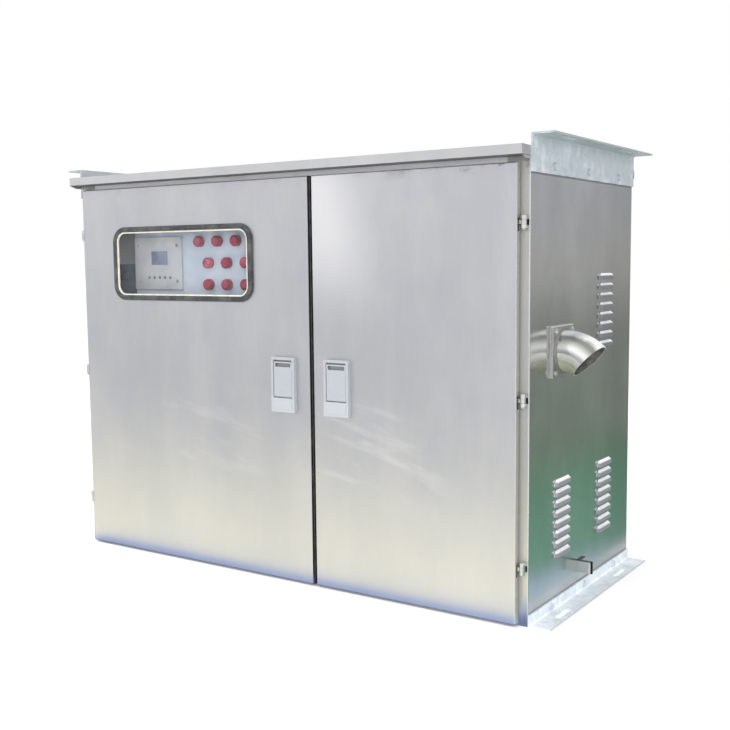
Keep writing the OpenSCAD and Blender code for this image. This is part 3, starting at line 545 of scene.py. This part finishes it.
hanger_zinc = galvanised("hanger_zinc", (0.40, 0.445, 0.475), (0.51, 0.555, 0.585), 0.30, 0.85)
# Paler, bluer copy of the zinc: painted light on the upward-facing base angles and a painted blue ground
# reflection.
base_zinc_painted_light = galvanised("base_zinc_painted_light", (0.74, 0.80, 0.85), (0.90, 0.94, 0.97), 0.22)
plate_metal = bright_plate()
lock_silver = lock_finish()
gasket_rubber = weathered_rubber("gasket_rubber", (0.032, 0.035, 0.042), (0.100, 0.100, 0.097))
seal_rubber = weathered_rubber("seal_rubber", (0.012, 0.012, 0.014), (0.035, 0.035, 0.036))
cream_filler = filler_strip("cream_filler", (0.88, 0.86, 0.75), (0.74, 0.70, 0.55))
grey_filler = filler_strip("grey_filler", (0.42, 0.42, 0.40), (0.26, 0.26, 0.24))
glass = clear_glass()
panel_blue = instrument_blue()
case_grey = grey_moulding()
red_cap = lamp_red()
switch_dark = dark_moulding()
key_grey = key_rubber()

finish_of = {
    door_satin: ["left_door_panel", "right_door_panel"],
    frame_satin: ["left_front_stile", "right_front_stile", "front_sill"],
    inner_satin: ["centre_post", "back_panel", "floor_panel"],
    header_satin_painted_light: ["front_header"],
    roof_satin: ["roof_cap"],
    side_mirror: ["left_side_panel", "right_side_panel"],
    elbow_mirror: ["elbow_pipe"],
    flange_satin: ["elbow_flange_plate"],
    lug_satin: ["earth_terminal"],
    hanger_zinc: ["left_hanger_angle", "right_hanger_angle", "panel_uprights", "left_angle_bolts",
                  "right_angle_bolts"],
    base_zinc_painted_light: ["left_base_angle", "right_base_angle"],
    plate_metal: ["elbow_bolts", "left_hinge_frame_leaves", "right_hinge_frame_leaves",
                  "left_hinge_door_leaves", "right_hinge_door_leaves"],
    lock_silver: ["left_handle_housing", "right_handle_housing", "left_handle_lever",
                  "right_handle_lever"],
    gasket_rubber: ["window_gasket"],
    seal_rubber: ["centre_seal", "meeting_seal"],
    cream_filler: ["window_filler"],
    grey_filler: ["elbow_gasket"],
    glass: ["window_glass"],
    panel_blue: ["instrument_panel"],
    case_grey: ["controller"],
    red_cap: ["indicator_lamps"],
    switch_dark: ["switch_block"],
}
for finish, names in finish_of.items():
    for name in names:
        nodes[name].data.materials.clear()
        nodes[name].data.materials.append(finish)


# Broken edges on the carried-over solids

def break_edges(names, width):
    for name in names:
        weld = nodes[name].modifiers.new("weld", "WELD")
        weld.merge_threshold = 0.00002
        edge = nodes[name].modifiers.new("edge", "BEVEL")
        edge.width = width
        edge.segments = 2
        edge.limit_method = "ANGLE"
        edge.angle_limit = radians(40)
        edge.profile = 0.5


break_edges(["left_handle_housing", "right_handle_housing", "left_handle_lever", "right_handle_lever",
             "controller", "switch_block"], 0.0010)
break_edges(["left_angle_bolts", "right_angle_bolts", "elbow_bolts", "elbow_flange_plate",
             "earth_terminal"], 0.0006)


# Small pieces over the solids

def piece(name, mesh, finish, body):
    bmesh.ops.remove_doubles(mesh, verts=mesh.verts, dist=1e-6)
    bmesh.ops.recalc_face_normals(mesh, faces=mesh.faces)
    data = bpy.data.meshes.new(name)
    mesh.to_mesh(data)
    mesh.free()
    data.materials.append(finish)
    data.shade_smooth()
    data.set_sharp_from_angle(angle=radians(38))
    thing = bpy.data.objects.new(name, data)
    scene.collection.objects.link(thing)
    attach(thing, body)


def turned(mesh, profile, place, turn, steps):
    """Spins a line of (radius, height) points about its own axis and sets it in place."""
    there = set(mesh.verts)
    points = [mesh.verts.new((radius, 0, height)) for radius, height in profile]
    line = [mesh.edges.new(pair) for pair in zip(points, points[1:])]
    bmesh.ops.spin(mesh, geom=points + line, cent=(0, 0, 0), axis=(0, 0, 1), angle=2 * pi, steps=steps,
                   use_merge=True)
    grown = [v for v in mesh.verts if v not in there]
    bmesh.ops.transform(mesh, matrix=Matrix.Translation(place) @ turn, verts=grown)


out_front = Matrix.Rotation(radians(90), 4, "X")
out_right = Matrix.Rotation(radians(90), 4, "Y")
out_left = Matrix.Rotation(radians(-90), 4, "Y")
flat = Matrix.Identity(4)

case_low, case_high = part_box("controller")
case_mid = (case_low + case_high) / 2
face_y = case_low.y + 0.0015
screen_mid = Vector((case_mid.x + 0.006, face_y + 0.0008, case_mid.z + 0.017))
screen_size = (0.0705, 0.0012, 0.0425)
key_mid, key_pitch = Vector((case_mid.x + 0.006, face_y, case_mid.z - 0.045)), 0.023
screw_across, screw_up = 0.0825, 0.056
angle_face = 0.805
bolt_heights, bolt_depths = (0.019, 1.160), (-0.228, 0.0, 0.228)

# Lines of (radius, height) points for the turned pieces

key_cap = [(0, 0.0024), (0.0030, 0.0023), (0.0042, 0.0019), (0.0045, 0.0012), (0.0045, 0.0)]
screw_head = [(0, 0.0012), (0.0016, 0.0012), (0.0018, 0.0024), (0.0032, 0.0022), (0.0044, 0.0015),
              (0.0050, 0.0)]
washer = [(0.0052, 0.0), (0.0052, 0.0016), (0.0098, 0.0016), (0.0106, 0.0010), (0.0106, 0.0)]
bead = [(0.0538, 0.0), (0.0592, 0.0), (0.0585, 0.0016), (0.0568, 0.0032), (0.0552, 0.0046),
        (0.0538, 0.0052)]


def round_off(mesh, edges, width, segments):
    bmesh.ops.bevel(mesh, geom=edges, offset=width, segments=segments, profile=0.5, affect="EDGES",
                    material=-1)


def display_cover():
    mesh = bmesh.new()
    bmesh.ops.create_cube(mesh, size=1)
    bmesh.ops.scale(mesh, vec=screen_size, verts=mesh.verts)
    round_off(mesh, [e for e in mesh.edges if abs(e.verts[0].co.y - e.verts[1].co.y) > 0.001], 0.002, 4)
    round_off(mesh, [e for e in mesh.edges if all(v.co.y < 0 for v in e.verts)], 0.0004, 2)
    bmesh.ops.translate(mesh, vec=screen_mid, verts=mesh.verts)
    piece("display_cover", mesh, display_face(), "cabinet")


def key_caps():
    mesh = bmesh.new()
    for i in range(-2, 3):
        turned(mesh, key_cap, key_mid + Vector((i * key_pitch, 0, 0)), out_front, 24)
    piece("key_caps", mesh, key_grey, "cabinet")


def case_screws(name, side, finish):
    mesh = bmesh.new()
    for row in (-1, 1):
        place = (case_mid.x + side * screw_across, face_y, case_mid.z + row * screw_up)
        turned(mesh, screw_head, place, out_front, 24)
    piece(name, mesh, finish, "cabinet")


def angle_washers(name, seat, turn):
    mesh = bmesh.new()
    for z in bolt_heights:
        for y in bolt_depths:
            turned(mesh, washer, (seat, y, z), turn, 28)
    piece(name, mesh, hanger_zinc, "cabinet")


def elbow_weld():
    """Fillet bead where the elbow tube meets its flange."""
    low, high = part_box("elbow_flange_plate")
    mid = (low + high) / 2
    mesh = bmesh.new()
    turned(mesh, bead, (high.x, mid.y, mid.z), out_right, 96)
    piece("elbow_weld", mesh, weld_metal(), "cabinet")


display_cover()
key_caps()
case_screws("left_case_screws", -1, plate_metal)
case_screws("right_case_screws", 1, key_grey)
angle_washers("right_angle_washers", angle_face, out_right)
angle_washers("left_angle_washers", -angle_face, out_left)
elbow_weld()


# Floor, light and cards

def stage_sheet(name, size, place, turn, look):
    mesh = bmesh.new()
    bmesh.ops.create_grid(mesh, x_segments=1, y_segments=1, size=0.5)
    bmesh.ops.scale(mesh, vec=(size[0], size[1], 1), verts=mesh.verts)
    bmesh.ops.transform(mesh, matrix=Matrix.Translation(place) @ turn, verts=mesh.verts)
    data = bpy.data.meshes.new(name)
    mesh.to_mesh(data)
    mesh.free()
    data.materials.append(look)
    sheet = bpy.data.objects.new(name, data)
    scene.collection.objects.link(sheet)
    return sheet


def card_look(name, letter, low, high, stops, mottle, slope):
    """Glowing ramp along one axis, mottled."""
    look = Look(name)
    run = look.axis(letter) + slope * look.axis("Y")
    ramp = look.add("ShaderNodeValToRGB", {"stops": stops},
                    {"Fac": look.ease(run, low, high) + mottle * (look.noise(2.4, 5, 0.6) - 0.5)})
    glow = look.add("ShaderNodeEmission", {}, {"Color": ramp, "Strength": 1.0})
    look.add("ShaderNodeOutputMaterial", {}, {"Surface": glow})
    return look.material


def card(name, size, place, turn, letter, low, high, stops, mottle=0.15, slope=0.0):
    """A card that only shows in polished metal."""
    sheet = stage_sheet(name, size, place, turn,
                        card_look(name, letter, low, high, stops, mottle, slope))
    sheet.visible_camera = False
    sheet.visible_diffuse = False
    sheet.visible_shadow = False
    sheet.visible_transmission = False


def floor_look():
    """Pale matt floor that fades to white away from the cabinet."""
    look = Look("floor_pale")
    ray = look.add("ShaderNodeLightPath", out="Is Camera Ray")
    reach = look.add("ShaderNodeVectorMath", {"operation": "LENGTH"}, {0: look.place()}, "Value")
    matt = look.add("ShaderNodeBsdfDiffuse", {}, {"Color": (0.90, 0.90, 0.90)})
    shine = look.ease(reach, 1.2, 4.0, 0.16, 0.42) * ray
    glow = look.add("ShaderNodeEmission", {}, {"Color": shine, "Strength": 1.0})
    both = look.add("ShaderNodeAddShader", {}, {0: matt, 1: glow})
    look.add("ShaderNodeOutputMaterial", {}, {"Surface": both})
    return look.material


def studio():
    scene.world = bpy.data.worlds.new("studio")
    scene.world.use_nodes = True
    look = Look("studio", scene.world.node_tree)
    ray = look.add("ShaderNodeLightPath", out="Is Camera Ray")
    gloss = look.add("ShaderNodeLightPath", out="Is Glossy Ray")
    through = look.add("ShaderNodeLightPath", out="Is Transmission Ray")
    seen = look.add("ShaderNodeClamp", {}, {"Value": ray + gloss + through})
    soft = look.add("ShaderNodeBackground", {}, {"Color": (0.97, 0.98, 1.0), "Strength": 0.72})
    white = look.add("ShaderNodeBackground", {}, {"Color": (1, 1, 1), "Strength": 1.0})
    both = look.add("ShaderNodeMixShader", {}, {0: seen, 1: soft, 2: white})
    look.add("ShaderNodeOutputWorld", {}, {"Surface": both})


def soft_lamp(name, size, place, aim, power):
    lamp = bpy.data.lights.new(name, "AREA")
    lamp.shape = "RECTANGLE"
    lamp.size, lamp.size_y = size
    lamp.energy = power
    thing = bpy.data.objects.new(name, lamp)
    thing.location = place
    thing.rotation_euler = (Vector(aim) - Vector(place)).to_track_quat("-Z", "Y").to_euler()
    thing.visible_glossy = False
    scene.collection.objects.link(thing)


studio()
stage_sheet("floor", (80, 80), (0, 0, 0), flat, floor_look())
soft_lamp("overhead", (6, 5), (-0.6, -1.6, 5.0), (0, 0, 0.4), 210)
soft_lamp("front_fill", (2.0, 1.5), (3.0, -3.4, 1.6), (-0.6, -0.3, 0.9), 70)
soft_lamp("right_fill", (3.0, 1.2), (3.6, 0.1, 1.1), (0.8, 0, 0.1), 26)

card("side_card", (4.6, 2.6), (3.75, 2.6, 1.3), out_front, "Z", 0.0, 2.2,
     [(0.0, (0.25, 0.295, 0.25)), (0.16, (0.30, 0.315, 0.29)), (0.34, (0.50, 0.50, 0.48)),
      (0.62, (0.51, 0.52, 0.55)), (1.0, (0.55, 0.57, 0.615))], 0.16)
card("side_floor_card", (3.3, 3.4), (2.52, 1.0, 0.004), flat, "X", 0.86, 2.3,
     [(0.0, (0.52, 0.66, 0.78)), (0.012, (0.34, 0.49, 0.52)), (0.035, (0.21, 0.41, 0.31)),
      (0.55, (0.19, 0.355, 0.25)), (1.0, (0.245, 0.29, 0.24))], 0.03, 0.14)
card("front_card", (12, 4.2), (-3.5, -4.6, 2.3), out_front, "Z", 0.2, 2.6,
     [(0.0, (0.71, 0.72, 0.77)), (1.0, (1.06, 1.06, 1.07))], 0.3)
card("front_floor_card", (6.0, 5.0), (-2.05, -2.941, 0.004), flat, "Y", -3.6, -0.45,
     [(0.0, (0.70, 0.70, 0.71)), (0.85, (0.87, 0.865, 0.82)), (0.97, (1.02, 1.0, 0.89)),
      (1.0, (1.25, 1.22, 1.06))])
card("front_strip_card", (1.58, 0.056), (0.0, -0.413, 0.003), flat, "Y", -0.441, -0.385,
     [(0.0, (0.30, 0.43, 0.95)), (1.0, (0.03, 0.11, 0.55))])


# Camera at the photograph's standpoint

photo_width, focal_length = 730, 1031.72     # in pixels
sensor_width = 36
eye_place = (1.8736, -2.6876, 0.9295)
yaw, pitch, roll = radians(-33.848), radians(-5.780), radians(-0.583)


def standpoint():
    ahead = Vector((sin(yaw) * cos(pitch), cos(yaw) * cos(pitch), sin(pitch)))
    level = ahead.cross(Vector((0, 0, 1))).normalized()
    rise = level.cross(ahead)
    right = level * cos(roll) + rise * sin(roll)
    up = rise * cos(roll) - level * sin(roll)
    lens = bpy.data.cameras.new("camera")
    lens.sensor_width = sensor_width
    lens.lens = focal_length / photo_width * sensor_width
    lens.clip_end = 200
    eye = bpy.data.objects.new("camera", lens)
    turn = Matrix((right, up, -ahead)).transposed().to_4x4()
    eye.matrix_world = Matrix.Translation(eye_place) @ turn
    scene.collection.objects.link(eye)
    scene.camera = eye


standpoint()
scene.view_settings.view_transform = "Standard"
